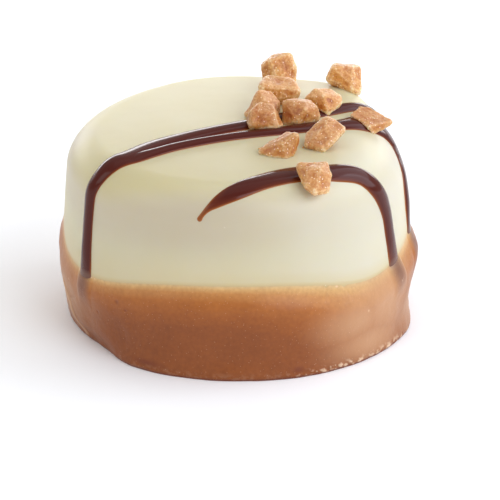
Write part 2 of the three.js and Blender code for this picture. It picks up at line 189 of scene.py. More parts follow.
# Fudge. Bumps have their size and height. A piece's number times a shift moves them, so that no two
# pieces are alike
FUDGE_CRISPNESS = 0.3  # how much the edges between a piece's faces stand out
FUDGE_LUMPS = (0.9, 0.06)
FUDGE_GRAINS = (0.2, 0.02)
FUDGE_CHIP_SIZE = 0.5
FUDGE_CHIP_DEPTH = 0.1
LUMP_SHIFT = 7.3
GRAIN_SHIFT = 3.1
CHIP_SHIFT = 5.7
FUDGE_SUNK = 0.12  # how far its underside sinks into what it lies on
FUDGE_TOP = (0.35, 0.85)  # how much a face looks up where it starts to be a top, and where it is
PALE_EDGE_RANK = 93  # this percentage of a piece stands out less than its pale edges
DEEP_FUDGE = {  # darker pieces, partly their own tone and partly painted shade, and how much of the darkening they have
    2: 0.2,
    3: 0.3,
    4: 0.6,
    5: 0.5,
    8: 0.45,
    9: 0.35,
    10: 0.5,
    11: 0.35,
}
CRUMBS = [  # right and back of the top's middle along the skin, and how large
    (2.54, -1.39, 0.34), (6.54, -5.02, 0.3), (2.02, -5.86, 0.24), (2.2, -5.6, 0.18),
    (6.1, -5.2, 0.2),
]
CRUMB_BUMPS = (0.7, 0.5)
CRUMB_SHIFT = 3.3
CRUMB_LIFT = 0.25  # height of its middle above the skin, as a share of its size
CRUMB_WEAR_AND_LIGHT = 0.6

# Fineness of the bumps and meshes
OCTAVE_STEP = 2.0  # each octave of bumps is this many times finer than the one before
OCTAVE_FALL = 1.0  # with 1 it is lower by as much, and with 0 as high
AROUND = 420
FOOT_AROUND = 800
TOP_ROWS = 44
SHOULDER_ROWS = 40
WALL_ROWS = 56
FOOT_ROWS = 110
FOOT_ROW_SPREAD = 1.15  # over 1, the foot's rows lie closer together near the floor
STRAND_STEPS = 320
STRAND_SIDES = 28
COVER_STEPS = 160
LINE_STEPS = 40
FUDGE_VOXEL = 0.056
EVENING_ROUNDS = 6  # rounds of smoothing that take the steps out of a piece of fudge
CRISP_ROUNDS = 50
EDGE_ROUNDS = 30
CRUMB_SIDES = 16
CRUMB_ROWS = 10
SHARP_ANGLE = 50
FUDGE_SHARP_ANGLE = 80

# Looks. Colours are as on a screen, from 0 to 255. A span holds the two values between which
# colours change, and a strength is the share of a tint where its mark is whole. Mottling, patches
# and grain are a size, a detail and a roughness. Specks and sugar are a distance apart, a radius,
# the share of them that is kept, and a strength
CLOUD_SPAN = (0.3, 0.7)
SPECK_CORE = 0.6  # share of a speck's radius where it is whole

# White chocolate. The wall's colours run up it, from a little below the band; the slightly darker
# stops in the wall's middle are painted shade below the shoulder
COAT_SURFACE = {
    "Roughness": 0.42,
    "IOR": 1.5,
    "Subsurface Weight": 0.5,
    "Subsurface Radius": (1.0, 0.75, 0.4),
    "Subsurface Scale": 0.7 * MM,
}
COAT_WALL_SPAN = (-0.4, 10)
COAT_WALL_COLORS = [
    (0.0, (198, 160, 100)),
    (0.03, (200, 176, 128)),
    (0.08, (203, 192, 158)),
    (0.35, (203, 197, 168)),
    # these two darker stops are painted shade on the wall below the shoulder
    (0.55, (199, 191, 168)),
    (0.72, (199, 190, 168)),
    (0.92, (204, 195, 156)),
]
COAT_TOP_COLOR = (202, 193, 160)
# painted light, paler on the lit right front of the wall, from a height above the band
COAT_PAINTED_LIGHT_COLOR = (208, 204, 188)
COAT_PAINTED_LIGHT_STRENGTH = 0.75
COAT_PAINTED_LIGHT_SPAN = (0.2, 1.5)  # above the band
# painted shade on the front wall below the shoulder
COAT_PAINTED_SHADE_COLOR = (189, 178, 156)
COAT_PAINTED_SHADE_STRENGTH = 0.8
COAT_MOTTLING = (5.0, 2.0, 0.5)
COAT_MOTTLING_COLORS = ((255, 253, 249), (253, 250, 241))
COAT_SPECKS = (1.6, 0.05, 0.3, 0.5)
COAT_SPECK_COLOR = (250, 248, 240)
COAT_GRAIN = (1.3, 3.0, 0.5)
COAT_GRAIN_DEPTH = 0.012

# Milk chocolate. Its colours run down from the band
FOOT_SURFACE = {
    "Roughness": 0.38,
    "IOR": 1.5,
    "Specular IOR Level": 0.35,
}
FOOT_COLOR_SPAN = (0.0, 4.0)
FOOT_COLORS = [
    (0.0, (214, 187, 140)),
    (0.06, (212, 172, 114)),
    (0.16, (194, 137, 78)),
    (0.35, (174, 106, 47)),
    (0.65, (157, 89, 33)),
    (1.0, (141, 77, 30)),
]
FOOT_MOTTLING = [  # each with its two colours
    ((3.5, 4.0, 0.5), ((255, 253, 250), (240, 234, 228))),
    ((0.35, 4.0, 0.5), ((255, 253, 250), (239, 233, 228))),
]
FOOT_MARKS = [  # marks, their strength and their colour
    # painted sheen
    ("painted_sheen", 0.75, (194, 149, 110)),
    ("stain", 0.85, (110, 68, 50)),
    # darker: painted shade in the pits and under the lip, and darker spots low on the front
    ("dark", 0.8, (112, 50, 22)),
]
FOOT_SPECKS = [(0.36, 0.045, 1.0, 0.28), (1.1, 0.055, 0.5, 0.42)]
FOOT_SPECK_COLOR = (222, 186, 156)
# pale crumbs and nicks, with a painted highlight along the lip's edge and the fold
FOOT_CHIPS_AND_HIGHLIGHT_COLOR = (236, 206, 172)
FOOT_CHIPS_AND_HIGHLIGHT_STRENGTH = 0.75
FOOT_GRAIN = (0.35, 4.0, 0.6)
FOOT_GRAIN_DEPTH = 0.03

# Dark chocolate. Its colours run from a strand's thin edge to its back
STRAND_SURFACE = {
    "Roughness": 0.14,
    "IOR": 1.36,
    "Specular IOR Level": 0.36,
}
STRAND_COLOR_SPAN = (-0.02, 0.2)
STRAND_COLORS = [
    (0.0, (205, 146, 84)),
    (0.2, (148, 84, 38)),
    (0.5, (98, 41, 22)),
    (0.9, (75, 25, 16)),
]
STRAND_COVERED_COLOR = (112, 80, 66)
STRAND_COVERED_STRENGTH = 0.8
STRAND_COVERED_SPAN = (0.5, 0.0)  # above the band
STRAND_GRAIN = (0.8, 3.0, 0.5)
STRAND_GRAIN_DEPTH = 0.008

# Fudge. Its colours run from its hollows, darker with painted shade, to its pale edges, which are
# partly wear and partly a painted highlight
FUDGE_SURFACE = {
    "Roughness": 0.36,
    "Subsurface Weight": 0.4,
    "Subsurface Radius": (1.0, 0.55, 0.22),
    "Subsurface Scale": 0.4 * MM,
}
FUDGE_PATCHES = (1.3, 3.0, 0.6)
FUDGE_PATCH_WEAR = (-0.45, 0.35)  # what the patches add to the value that runs from the hollows to the edges
FUDGE_WEAR_AND_LIGHT_SPAN = (-1.0, 1.3)
# darkest in the hollows, which is painted shade, and palest on the edges, partly wear and partly a
# painted highlight
FUDGE_COLORS = [
    (0.0, (128, 54, 8)),
    (0.25, (181, 101, 30)),
    (0.45, (218, 157, 82)),
    (0.65, (228, 180, 118)),
    (0.85, (246, 216, 168)),
    (1.0, (250, 228, 190)),
]
# paler upward faces: painted light from above, partly sugar dust
FUDGE_TOP_DUST_AND_LIGHT_COLOR = (236, 193, 149)
FUDGE_TOP_DUST_AND_LIGHT_STRENGTH = 0.55
FUDGE_MOTTLING = (0.2, 3.0, 0.6)
FUDGE_MOTTLING_SPAN = (0.38, 0.62)
FUDGE_MOTTLING_COLORS = ((230, 206, 174), (252, 254, 252))
FUDGE_DEEP_COLORS = ((255, 255, 255), (206, 182, 162))
# painted shade in the dents between the bumps
FUDGE_PIT_SHADE_COLOR = (176, 98, 38)
FUDGE_PIT_SHADE_STRENGTH = 0.6
FUDGE_PIT_SPAN = (0.25, 0.7)
FUDGE_SUGAR = (0.24, 0.065, 0.4, 0.75)
FUDGE_SUGAR_COLOR = (255, 240, 216)
FUDGE_GRAIN = (0.12, 2.0, 0.6)
FUDGE_GRAIN_DEPTH = 0.02

# Camera: it looks at a point on the praline's axis
CAMERA_ELEVATION = 22.2
CAMERA_DISTANCE = 400
CAMERA_TARGET_HEIGHT = 9
CAMERA_LENS = 302.4
CAMERA_SENSOR = 36
CAMERA_SHIFT = (0.0241, -0.056)

# Light and floor, in metres and linear colours
SOFTBOX_DISTANCE = 0.72
WHITE = (1, 1, 1)
COOL = (0.95, 1.0, 1.12)
SOFTBOXES = [  # azimuth, elevation, width, height, watts and colour
    ("above", 90, 80, 0.6, 0.6, 0.4, WHITE),
    ("low behind", 90, 12, 1.1, 0.15, 2.3, WHITE),
    ("low behind on the left", 130, 13, 0.6, 0.2, 0.5, WHITE),
    ("on the right", 2, 30, 0.5, 0.5, 2.0, COOL),
    ("behind on the right", 40, 42, 0.5, 0.5, 1.0, COOL),
    ("in front on the right", 312, 32, 0.5, 0.5, 2.3, COOL),
    ("in front on the left", 215, 32, 0.5, 0.5, 1.25, WHITE),
]
WORLD_STRENGTH = 0.47
FLOOR_HALF = 1.5
FLOOR_SURFACE = {
    "Base Color": (0.98, 0.98, 0.98, 1),
    "Roughness": 0.8,
}


# Shape of the coat and the foot

def apart(azimuth, origin):
    """Angle from one azimuth to another, from -180 to 180."""
    return (azimuth - origin + 180) % 360 - 180


def swell(place, azimuth):
    """What an uneven place adds at an azimuth: all of its amount at its middle, none far from it."""
    middle, reach, amount = place
    return amount * np.exp(-((apart(azimuth, middle) / reach) ** 2))


def smoothstep(value, low, high):
    share = np.clip((value - low) / (high - low), 0, 1)
    return share * share * (3 - 2 * share)


def section(azimuth):
    """The coat's section at an azimuth: a domed top, an arc for a shoulder, and a straight wall."""
    rounding = (
        SHOULDER_ROUND
        + swell(ROUND_RIGHT_SHOULDER, azimuth)
        + swell(SHARP_BACK_SHOULDER, azimuth)
    )
    offset = COAT_OFFSET * np.cos(np.radians(azimuth))
    centre_radius = COAT_RADIUS - offset + swell(CORNER_OUT, azimuth) - rounding
    start_lean = np.arctan(2 * DOME / centre_radius)
    end_lean = np.radians(90 - DRAFT - swell(MORE_DRAFT_RIGHT, azimuth))
    rise = swell(CORNER_UP, azimuth)
    return SimpleNamespace(
        rounding=rounding,
        centre_radius=centre_radius,
        centre_height=COAT_HEIGHT + rise - DOME - rounding * np.cos(start_lean),
        start_lean=start_lean,
        end_lean=end_lean,
        rise=rise,
        top_length=centre_radius + rounding * np.sin(start_lean),
        arc_length=rounding * (end_lean - start_lean),
    )


def skin(along, azimuth):
    """Radius, height and lean of the coat's skin at a distance along it from the top's middle."""
    cut = section(azimuth)
    share = np.clip(along / cut.top_length, 0, 1)
    top_height = COAT_HEIGHT + cut.rise * smoothstep(share, 0, 1) - DOME * share**2
    lean = np.minimum(cut.start_lean + (along - cut.top_length) / cut.rounding, cut.end_lean)
    down = np.maximum(along - cut.top_length - cut.arc_length, 0)
    radius = cut.centre_radius + cut.rounding * np.sin(lean) + down * np.cos(cut.end_lean)
    height = cut.centre_height + cut.rounding * np.cos(lean) - down * np.sin(cut.end_lean)
    on_top = along < cut.top_length
    return (
        np.where(on_top, along, radius),
        np.where(on_top, top_height, height),
        np.where(on_top, cut.start_lean * share, lean),
    )


def along_at(height, azimuth):
    """How far along the skin the wall comes down to a height."""
    cut = section(azimuth)
    wall_top = cut.centre_height + cut.rounding * np.cos(cut.end_lean)
    return cut.top_length + cut.arc_length + (wall_top - height) / np.sin(cut.end_lean)


def polar(radius, azimuth, height):
    angle = np.radians(azimuth)
    return np.stack(np.broadcast_arrays(radius * np.cos(angle), radius * np.sin(angle), height), -1)


def skin_point(along, azimuth, lift=0.0):
    radius, height, lean = skin(along, azimuth)
    return polar(radius + lift * np.sin(lean), azimuth, height + lift * np.cos(lean))


def band_height(azimuth):
    return BAND_HEIGHT + sum(swell(place, azimuth) for place in BAND_SWELLS)


def base_radius(azimuth):
    turned = apart(azimuth, BASE_FRONT_FROM) + BASE_FRONT_FROM
    starts = smoothstep(turned, BASE_FRONT_FROM - BASE_FRONT_EDGE, BASE_FRONT_FROM)
    ends = 1 - smoothstep(turned, BASE_FRONT_TO, BASE_FRONT_TO + BASE_FRONT_EDGE)
    front = BASE_FRONT_AMOUNT * starts * ends
    return BASE_RADIUS + front + sum(swell(place, azimuth) for place in BASE_SWELLS)


def foot_radius(height, azimuth):
    lip = base_radius(azimuth) + LIP_OVERHANG
    waist = np.maximum(WAIST_RADIUS - WAIST_OFFSET * np.cos(np.radians(azimuth)), lip - LIP_FLARE)
    bulge = np.exp(-(((height - BULGE_HEIGHT) / BULGE_REACH) ** 2))
    flare = np.exp(-((np.maximum(height - LIP_HEIGHT, 0) / LIP_REACH) ** 2))
    below_lip = np.maximum(1 - height / LIP_HEIGHT, 0)
    side = waist + (BULGE_RADIUS - waist) * bulge + (lip - waist) * flare
    side = side - LIP_OVERHANG * below_lip
    wall = skin(along_at(height, azimuth), azimuth)[0]
    return wall + (side - wall) * smoothstep(band_height(azimuth) - height, 0, FEATHER)


# Course of the strands

def curve_through(stations, steps):
    """Points of a smooth curve through the stations: a centripetal Catmull-Rom curve."""
    points = np.array(stations, float)
    padded = np.vstack([2 * points[0] - points[1], points, 2 * points[-1] - points[-2]])
    position = np.linspace(0, len(points) - 1, steps)
    index = np.minimum(position.astype(int), len(points) - 2)
    t = (position - index)[:, None]
    p0, p1, p2, p3 = (padded[index + k] for k in range(4))
    d0, d1, d2 = (
        np.sqrt(np.linalg.norm(b - a, axis=1))[:, None] for a, b in ((p0, p1), (p1, p2), (p2, p3))
    )
    start = ((p1 - p0) / d0 - (p2 - p0) / (d0 + d1) + (p2 - p1) / d1) * d1
    end = ((p2 - p1) / d1 - (p3 - p1) / (d1 + d2) + (p3 - p2) / d2) * d1
    square = -3 * p1 + 3 * p2 - 2 * start - end
    cube = 2 * p1 - 2 * p2 + start + end
    return p1 + t * (start + t * (square + t * cube))


def longer(stations, at_start, at_end, extra):
    """The stations with a straight stretch added at the ends that go on behind the foot."""
    points = [np.array(station, float) for station in stations]
    for wanted, place, end, inner in ((at_start, 0, 0, 1), (at_end, len(points), -1, -2)):
        if wanted:
            step = points[end] - points[inner]
            step[2] = 0
            points.insert(place, points[end] + step / np.linalg.norm(step) * extra)
    return points


def beside(middle, heading, across):
    """Places on the unrolled skin, moved sideways from a strand's middle line. Down the wall the
    skin is less wide than it is unrolled, so a distance across is stretched to stay true."""
    along = np.linalg.norm(middle, axis=-1)
    azimuth = np.arctan2(middle[..., 1], middle[..., 0])
    girth = skin(along, np.degrees(azimuth))[0] / along
    outward = np.stack([np.cos(azimuth), np.sin(azimuth)], -1)
    sideways = np.stack([-outward[..., 1], outward[..., 0]], -1)
    ahead = (heading * outward).sum(-1)
    aside = (heading * sideways).sum(-1) * girth
    size = np.hypot(ahead, aside)
    ahead = ahead / size
    aside = aside / size
    return (
        middle
        - outward * (aside * across)[..., None]
        + sideways * (ahead * across / girth)[..., None]
    )


def strand_line(strand, extra, steps):
    """A strand's middle line on the unrolled skin, with its width, from end to end."""
    return curve_through(longer(strand["stations"], *strand["buried"], extra), steps)


def strand_cover(points, strand):
    """How much of a strand lies over each point near the wall: 1 on its middle line, 0 beside it."""
    line = strand_line(strand, STAIN_DEPTH, COVER_STEPS)
    along = np.hypot(line[:, 0], line[:, 1])
    azimuth = np.degrees(np.arctan2(line[:, 1], line[:, 0]))
    radius, height, _ = skin(along, azimuth)
    steps = zip(np.radians(azimuth), radius, height, line[:, 2])
    found = np.zeros(len(points))
    point_angle = np.arctan2(points[:, 1], points[:, 0])
    for step_angle, step_radius, step_height, width in steps:
        turn = (point_angle - step_angle + np.pi) % (2 * np.pi) - np.pi
        distance = np.hypot(turn * step_radius, points[:, 2] - step_height)
        found = np.maximum(found, 1 - (distance / (width / 2 + RIDGE_ASIDE)) ** 2)
    return found


def tip_shares(strand, middle):
    """Shares of its width and height that a strand has along its middle line, less at a tip."""
    if strand["buried"][0]:
        whole = np.ones(len(middle))
        return whole, whole
    from_tip = np.linalg.norm(middle - middle[0], axis=1)
    width = np.sqrt(1 - np.clip(1 - from_tip / TIP_ROUND, 0, 1) ** 2)
    height = TIP_THIN_SHARE + (1 - TIP_THIN_SHARE) * smoothstep(from_tip, 0, TIP_THIN_OVER)
    return width, height * width


# Meshes

def new_piece(name, points, faces, sharp_angle):
    mesh = bpy.data.meshes.new(name)
    mesh.from_pydata((points * MM).tolist(), [], faces)
    mesh.update()
    mesh.shade_smooth()
    mesh.set_sharp_from_angle(angle=math.radians(sharp_angle))
    piece = bpy.data.objects.new(name, mesh)
    bpy.context.scene.collection.objects.link(piece)
    return piece


def add_values(piece, name, *parts):
    """Stores one number for each vertex, which a material reads by its name."""
    values = np.concatenate([np.ravel(part) for part in parts])
    attribute = piece.data.attributes.new(name, "FLOAT", "POINT")
    attribute.data.foreach_set("value", values.astype(np.float32))


def ring_faces(rows, columns):
    """Faces of a body made of rings, closed by a vertex inside its first ring and its last."""
    top = rows * columns
    bottom = top + 1
    last = (rows - 1) * columns
    sides = [(column, (column + 1) % columns) for column in range(columns)]
    faces = []
    for a, b in sides:
        faces.append((top, a, b))
        faces.append((last + a, bottom, last + b))
    for ring in range(0, last, columns):
        below = ring + columns
        faces += [(ring + a, below + a, below + b, ring + b) for a, b in sides]
    return faces


def body_of_rings(name, rings, top, bottom):
    rows, columns, _ = rings.shape
    points = np.vstack([rings.reshape(-1, 3), top, bottom])
    return new_piece(name, points, ring_faces(rows, columns), SHARP_ANGLE)


def bumps(points, size, height, octaves=3):
    """Smooth uneven heights at points, about as wide as size."""
    settings = (OCTAVE_FALL, OCTAVE_STEP, octaves)
    return height * np.array([
        noise.fractal(Vector(point) / size, *settings, noise_basis="PERLIN_ORIGINAL")
        for point in points
    ])


def shares_of(rows):
    """Where a stretch's rows lie, as shares of its length, one below another."""
    return np.arange(1, rows + 1)[:, None] / rows


# Coat

def make_coat():
    azimuth = np.arange(AROUND) * 360 / AROUND
    cut = section(azimuth)
    wall_top = cut.top_length + cut.arc_length
    wall_end = along_at(band_height(azimuth) - COVERED, azimuth)
    along = np.vstack([
        cut.top_length * shares_of(TOP_ROWS),
        cut.top_length + cut.arc_length * shares_of(SHOULDER_ROWS),
        wall_top + (wall_end - wall_top) * shares_of(WALL_ROWS),
    ])
    radius, height, lean = skin(along, azimuth)
    above = height - band_height(azimuth)
    points = polar(radius, azimuth, height)
    waves = bumps(points.reshape(-1, 3), COAT_WAVE_SIZE, COAT_WAVE_HEIGHT).reshape(above.shape)
    waves = waves * smoothstep(above, 0, COAT_WAVES_ABOVE)
    lift = waves - COAT_TUCK * smoothstep(-above, 0, COAT_TUCK_OVER)
    points = points + polar(np.sin(lean), azimuth, np.cos(lean)) * lift[..., None]
    inside = polar(radius[-1] * CLOSING_SHARE, azimuth, height[-1])[None]
    rings = np.concatenate([points, inside])
    piece = body_of_rings("white_coat", rings, (0, 0, COAT_HEIGHT), (0, 0, height[-1].mean()))
    add_coat_values(piece, along, azimuth, above)
    return piece


def add_coat_values(piece, along, azimuth, above):
    """How high above the band the coat is, how much it belongs to the top, and where painted light
    and painted shade lie on its wall.
    """
    cut = section(azimuth)
    top_fades = cut.top_length - TOP_INSIDE
    top_ends = cut.top_length + TOP_ARC_SHARE * cut.arc_length
    on_top = 1 - smoothstep(along, top_fades, top_ends)
    # painted light on the lit right front of the wall
    painted_light = swell(COAT_PAINTED_LIGHT, azimuth) * (1 - on_top)
    # painted shade on the front wall below the shoulder
    painted_shade = swell(COAT_PAINTED_SHADE, azimuth) * smoothstep(above, *PAINTED_SHADE_STARTS)
    painted_shade = painted_shade * smoothstep(above, *PAINTED_SHADE_ENDS)
    inside = np.zeros(AROUND)
    add_values(piece, "above_band", above, inside + BEHIND_FOOT, [FAR, BEHIND_FOOT])
    for name, values in (("on_top", on_top), ("painted_light", painted_light), ("painted_shade", painted_shade)):
        add_values(piece, name, values, inside, [0, 0])


# Foot

def spot_cover(azimuth, height, spots):
    """How much of the spots lies over each point of the foot: 1 in a middle, 0 beyond a rim."""
    found = np.zeros(azimuth.shape)
    for spot_azimuth, spot_height, wide, tall in spots:
        aside = np.radians(apart(azimuth, spot_azimuth)) * BULGE_RADIUS / wide
        above = (height - spot_height) / tall
        found = np.maximum(found, 1 - np.hypot(aside, above))
    return smoothstep(found, 0, 1)


def line_cover(azimuth, height, line, width):
    """How much of a bent line lies over each point of the foot."""
    found = np.zeros(azimuth.shape)
    for (azimuth_1, height_1), (azimuth_2, height_2) in zip(line, line[1:]):
        for share in np.linspace(0, 1, LINE_STEPS):
            aside = np.radians(apart(azimuth, azimuth_1 + share * (azimuth_2 - azimuth_1)))
            above = height - height_1 - share * (height_2 - height_1)
            found = np.maximum(found, 1 - np.hypot(aside * BULGE_RADIUS, above) / width)
    return smoothstep(found, 0, 1)


def rim_crumbs(azimuth, height):
    """How crumbly the foot's rim is at each of its points."""
    at_rim = 1 - smoothstep(height, RIM_HEIGHT, RIM_HEIGHT + RIM_FADE)
    at_rim = at_rim * smoothstep(height, RIM_START, RIM_HEIGHT)
    return at_rim * (RIM_CRUMBS + (1 - RIM_CRUMBS) * spot_cover(azimuth, height, CRUMBLY_RIM))


def foot_marks(points, azimuth, height):
    """How much of each kind of mark lies over each of the foot's points."""
    flat = points.reshape(-1, 3)
    strands = np.zeros(len(flat))
    for strand in STRANDS.values():
        strands = np.maximum(strands, strand_cover(flat, strand))
    creases = np.zeros(height.shape)
    for line in FOOT_CREASES:
        creases = np.maximum(creases, line_cover(azimuth, height, line, CREASE_WIDTH))
    return SimpleNamespace(
        strands=strands.reshape(height.shape),
        lumps=bumps(flat, FOOT_LUMP_SIZE, FOOT_LUMP_HEIGHT).reshape(height.shape),
        rough=bumps(flat, RIM_CRUMB_SIZE, 1.0).reshape(height.shape),
        crumbs=rim_crumbs(azimuth, height),
        pits=spot_cover(azimuth, height, FOOT_PITS),
        creases=creases,
        fold=line_cover(azimuth, height, FOOT_FOLD, FOLD_WIDTH),
    )


def uneven_radius(radius, below, marks):
    """The foot's radius with its ridges, lumps, crumbs, pits, creases and fold."""
    ridge = RIDGE * np.sqrt(marks.strands) * smoothstep(below, *RIDGE_BELOW)
    ridge = ridge * (1 - smoothstep(below, RIDGE_FADES_BELOW, STAIN_DEPTH))
    lumps = marks.lumps * smoothstep(below, *FOOT_LUMPS_BELOW)
    radius = radius + ridge + lumps + RIM_CRUMB_HEIGHT * marks.crumbs * marks.rough
    return radius - PIT_DEPTH * marks.pits - CREASE_DEPTH * marks.creases + FOLD_HEIGHT * marks.fold


def make_foot():
    azimuth = np.arange(FOOT_AROUND) * 360 / FOOT_AROUND
    band = band_height(azimuth)
    height = band * np.linspace(1, 0, FOOT_ROWS)[:, None] ** FOOT_ROW_SPREAD
    azimuths = np.broadcast_to(azimuth, height.shape)
    below = band - height
    radius = foot_radius(height, azimuth)
    marks = foot_marks(polar(radius, azimuth, height), azimuths, height)
    radius = uneven_radius(radius, below, marks)
    inner_top = polar(radius[0] * CLOSING_SHARE, azimuth, band)[None]
    inner_floor = polar(radius[-1] * CLOSING_SHARE, azimuth, 0)[None]
    rings = np.concatenate([inner_top, polar(radius, azimuth, height), inner_floor])
    piece = body_of_rings("milk_foot", rings, (0, 0, BAND_HEIGHT), (0, 0, 0))
    add_foot_values(piece, azimuths, height, below, marks)
    return piece


def add_foot_values(piece, azimuth, height, below, marks):
    """How far below the band the foot is, and where its stains and other marks show."""
    stain = np.clip(marks.strands, 0, 1) * (1 - smoothstep(below, STAIN_FADES_BELOW, STAIN_DEPTH))
    # pale crumbs and nicks, with a painted highlight along the lip's edge and the fold
    pale = np.clip(marks.crumbs * smoothstep(marks.rough, *PALE_CRUMBS), 0, 1)
    pale = np.maximum(pale, FOLD_PAINTED_HIGHLIGHT * marks.fold)
    pale = np.maximum(pale, spot_cover(azimuth, height, FOOT_NICKS))
    # painted sheen on the right front, the right and the left of the foot
    painted_sheen = spot_cover(azimuth, height, FOOT_PAINTED_SHEEN)
    # painted shade in the pits and under the lip, and darker spots low on the front
    dark = np.maximum(PIT_PAINTED_SHADE * marks.pits, spot_cover(azimuth, height, FOOT_LOW_DARK_SPOTS))
    dark = np.maximum(dark, 1 - smoothstep(height, RIM_PAINTED_SHADE_HEIGHT, RIM_HEIGHT))
    depth = below / (1 + swell(WIDE_PALE_EDGE, azimuth))
    inside = np.zeros(FOOT_AROUND)
    add_values(piece, "below_band", inside, depth, inside + FAR, [0, FAR])
    for name, values in (("stain", stain), ("pale", pale), ("painted_sheen", painted_sheen), ("dark", dark)):
        add_values(piece, name, inside, values, inside, [0, 0])


# Strands of dark chocolate

def make_strand(name):
    """A rod bent along its stations and laid in the skin, with a low rounded back."""
    strand = STRANDS[name]
    line = strand_line(strand, BURIED, STRAND_STEPS)
    middle = line[:, :2]
    heading = np.gradient(middle, axis=0)
    heading /= np.linalg.norm(heading, axis=1)[:, None]
    width_share, height_share = tip_shares(strand, middle)
    turn = np.arange(STRAND_SIDES) * 2 * np.pi / STRAND_SIDES
    up = np.sin(turn)
    across = np.cos(turn)[None, :] * (width_share * line[:, 2] / 2)[:, None]
    places = beside(
        np.repeat(middle[:, None], STRAND_SIDES, 1),
        np.repeat(heading[:, None], STRAND_SIDES, 1),
        across,
    )
    along = np.linalg.norm(places, axis=-1)
    azimuth = np.degrees(np.arctan2(places[..., 1], places[..., 0]))
    above = skin(along, azimuth)[1] - band_height(azimuth)
    thin = STRAND_THIN_SHARE + (1 - STRAND_THIN_SHARE) * smoothstep(above, 0, STRAND_THIN_ABOVE)
    back = strand["height"] * thin * height_share[:, None]
    rise = np.where(up > 0, back + STRAND_EDGE, STRAND_SUNK + STRAND_EDGE)
    lift = np.sign(up) * np.abs(up) ** STRAND_PILLOW * rise - STRAND_EDGE
    rings = skin_point(along, azimuth, lift)
    piece = body_of_rings(name, rings, rings[0].mean(0), rings[-1].mean(0))
    add_values(piece, "thickness", lift, [0, 0])
    add_values(piece, "above_band", above, [FAR, BEHIND_FOOT])
    return piece


# Fudge

def smoothed(points, edges, rounds):
    """Points moved halfway to the middle of their neighbours, a number of times."""
    a, b = edges.T
    count = np.bincount(np.concatenate([a, b]), minlength=len(points))[:, None]
    for _ in range(rounds):
        total = np.stack([
            np.bincount(a, points[b, k], len(points)) + np.bincount(b, points[a, k], len(points))
            for k in range(3)
        ], 1)
        points = (points + total / count) / 2
    return points


def array_of(collection, field, width, kind=np.float32):
    values = np.zeros(len(collection) * width, kind)
    collection.foreach_get(field, values)
    return values.reshape(-1, width)


def finely_divided(mesh):
    """A mesh in millimetres, remade from even small faces."""
    source = bpy.data.objects.new("rough", mesh)
    bpy.context.scene.collection.objects.link(source)
    remesh = source.modifiers.new("remesh", "REMESH")
    remesh.mode = "VOXEL"
    remesh.voxel_size = FUDGE_VOXEL
    depsgraph = bpy.context.evaluated_depsgraph_get()
    result = bpy.data.meshes.new_from_object(source.evaluated_get(depsgraph))
    bpy.data.objects.remove(source)
    return result


def crisp_mesh(solid):
    """A solid's form with small faces and slightly raised edges, in millimetres."""
    rough = solid.data.copy()
    points = array_of(rough.vertices, "co", 3) / MM
    rough.vertices.foreach_set("co", points.astype(np.float32).ravel())
    fine = finely_divided(rough)
    points = array_of(fine.vertices, "co", 3).astype(float)
    edges = array_of(fine.edges, "vertices", 2, np.int32)
    points = smoothed(points, edges, EVENING_ROUNDS)
    points = points + FUDGE_CRISPNESS * (points - smoothed(points, edges, CRISP_ROUNDS))
    fine.vertices.foreach_set("co", points.astype(np.float32).ravel())
    fine.update()
    return fine, points, edges


def make_fudge(solid, number):
    """A crumbly piece in the form of its solid: pale edges, partly wear and partly a painted
    highlight, painted shade in its hollows, grains and small pits.
    """
    fine, points, edges = crisp_mesh(solid)
    normals = array_of(fine.vertex_normals, "vector", 3)
    # how far a place stands out: edges get pale colour, partly wear and partly a painted highlight,
    # and hollows get painted shade
    wear_and_painted_light = ((points - smoothed(points, edges, EDGE_ROUNDS)) * normals).sum(1)
    wear_and_painted_light = wear_and_painted_light / np.percentile(wear_and_painted_light, PALE_EDGE_RANK)
    lumps = bumps(points + number * LUMP_SHIFT, *FUDGE_LUMPS)
    grains = bumps(points + number * GRAIN_SHIFT, *FUDGE_GRAINS, octaves=2)
    chips = bumps(points - number * CHIP_SHIFT, FUDGE_CHIP_SIZE, 1.0, octaves=2)
    chips = np.clip(chips, 0, 1) * np.clip(wear_and_painted_light, 0, 1) * FUDGE_CHIP_DEPTH
    points = points + normals * (lumps + grains - chips)[:, None]
    points[:, 2] -= np.clip(-normals[:, 2], 0, 1) * FUDGE_SUNK
    faces = [tuple(p.vertices) for p in fine.polygons]
    piece = new_piece("fudge_%02d" % number, points, faces, FUDGE_SHARP_ANGLE)
    add_values(piece, "wear_and_painted_light", wear_and_painted_light)
    add_values(piece, "pit", -(lumps + grains) / FUDGE_LUMPS[1])
    # upward faces get painted light from above, partly sugar dust
    add_values(piece, "top", smoothstep(normals[:, 2], *FUDGE_TOP))
    add_values(piece, "deep", np.full(len(points), DEEP_FUDGE.get(number, 0.0)))
    return piece


def make_crumb(number, x, y, size):
    """A grain of fudge that came off a piece and sticks to the coat."""
    turn = np.arange(CRUMB_SIDES) * 2 * np.pi / CRUMB_SIDES
    tilt = (np.arange(1, CRUMB_ROWS) * np.pi / CRUMB_ROWS)[:, None]
    ball = polar(np.sin(tilt), np.degrees(turn), np.cos(tilt))
    shifted = ball.reshape(-1, 3) + CRUMB_SHIFT * number
    uneven = 1 + bumps(shifted, *CRUMB_BUMPS).reshape(ball.shape[:2])
    middle = skin_point(np.hypot(x, y), np.degrees(np.arctan2(y, x)), CRUMB_LIFT * size)
    rings = middle + size / 2 * ball * uneven[..., None]
    name = "fudge_crumb_%d" % number
    piece = body_of_rings(name, rings, rings[0].mean(0), rings[-1].mean(0))
    zeros = np.zeros(rings[..., 0].size + 2)
    add_values(piece, "wear_and_painted_light", zeros + CRUMB_WEAR_AND_LIGHT)
    for value_name in ("pit", "top", "deep"):
        add_values(piece, value_name, zeros)
    return piece


# Nodes of the materials

